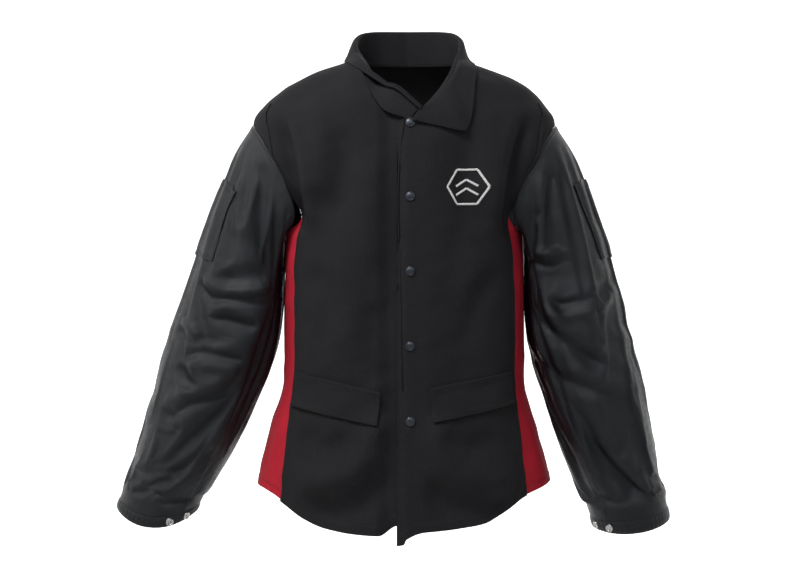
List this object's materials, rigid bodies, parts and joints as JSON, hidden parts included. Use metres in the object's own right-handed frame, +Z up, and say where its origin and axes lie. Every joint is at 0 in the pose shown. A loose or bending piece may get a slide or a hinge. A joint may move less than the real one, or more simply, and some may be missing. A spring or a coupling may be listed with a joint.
{
  "type": "welding jacket",
  "caption": "Snap-front welding jacket with a flame-resistant cotton body, red side panels, hide sleeves, fold-down collar and hip pockets with flaps.",
  "frame": {"origin": "the middle of the neck opening, level with the high points of the shoulders, where a neck, hanger or form holds the jacket up", "axes": "+Z up, the wearer faces -Y, +X towards the wearer's left"},
  "size_m": [0.9002, 0.3067, 0.8349],
  "materials": {
    "black_cotton": "matte",
    "red_cotton": "matte",
    "black_leather": "satin",
    "gunmetal": "satin",
    "nickel": "gloss",
    "white_thread": "matte"
  },
  "bodies": {
    "torso": {"back_panel": "black_cotton", "back_yoke": "black_cotton", "chest_emblem": "white_thread", "collar_leaf": "black_cotton", "collar_stand": "black_cotton", "front_left_upper": "black_cotton", "front_right": "black_cotton", "pocket_bag_right": "black_cotton", "side_panel_left": "red_cotton", "side_panel_right": "red_cotton", "snap_cap_1": "gunmetal", "snap_cap_2": "gunmetal", "snap_socket_1": "gunmetal", "snap_socket_2": "gunmetal", "snap_stud_1": "gunmetal", "snap_stud_2": "gunmetal", "snap_stud_3": "gunmetal", "snap_stud_4": "gunmetal", "snap_stud_5": "gunmetal", "snap_washer_1": "gunmetal", "snap_washer_2": "gunmetal", "snap_washer_3": "gunmetal", "snap_washer_4": "gunmetal", "snap_washer_5": "gunmetal"},
    "front_left": {"front_left_lower": "black_cotton", "pocket_bag_left": "black_cotton", "snap_cap_3": "gunmetal", "snap_cap_4": "gunmetal", "snap_cap_5": "gunmetal", "snap_socket_3": "gunmetal", "snap_socket_4": "gunmetal", "snap_socket_5": "gunmetal"},
    "flap_left": {"pocket_flap_left": "black_cotton"},
    "flap_right": {"pocket_flap_right": "black_cotton"},
    "sleeve_left": {"cuff_hem_left": "black_leather", "cuff_snap_left_1": "nickel", "cuff_snap_left_2": "nickel", "cuff_washer_left_1": "nickel", "cuff_washer_left_2": "nickel", "sleeve_left_outer": "black_leather", "sleeve_left_under": "black_leather", "sleeve_pocket_left": "black_leather"},
    "sleeve_right": {"cuff_hem_right": "black_leather", "cuff_snap_right_1": "nickel", "cuff_snap_right_2": "nickel", "cuff_washer_right_1": "nickel", "cuff_washer_right_2": "nickel", "sleeve_pocket_right": "black_leather", "sleeve_right_outer": "black_leather", "sleeve_right_under": "black_leather"}
  },
  "joints": [
    {"name": "front_left_open", "type": "hinge", "parent": "torso", "child": "front_left", "pos_m": [0.2, -0.08, -0.5], "axis": [0, 0, 1], "range_deg": [0, 50]},
    {"name": "flap_left_lift", "type": "hinge", "parent": "front_left", "child": "flap_left", "pos_m": [0.104, -0.135, -0.5185], "axis": [-0.9175, -0.3583, -0.1727], "range_deg": [0, 95], "stiffness_Nm_per_rad": 0.01},
    {"name": "flap_right_lift", "type": "hinge", "parent": "torso", "child": "flap_right", "pos_m": [-0.104, -0.1338, -0.5217], "axis": [-0.9077, 0.3683, 0.201], "range_deg": [0, 95], "stiffness_Nm_per_rad": 0.01},
    {"name": "sleeve_left_raise", "type": "hinge", "parent": "torso", "child": "sleeve_left", "pos_m": [0.25, 0, -0.106], "axis": [0, -1, 0], "range_deg": [0, 60]},
    {"name": "sleeve_right_raise", "type": "hinge", "parent": "torso", "child": "sleeve_right", "pos_m": [-0.25, 0, -0.106], "axis": [0, 1, 0], "range_deg": [0, 60]}
  ]
}
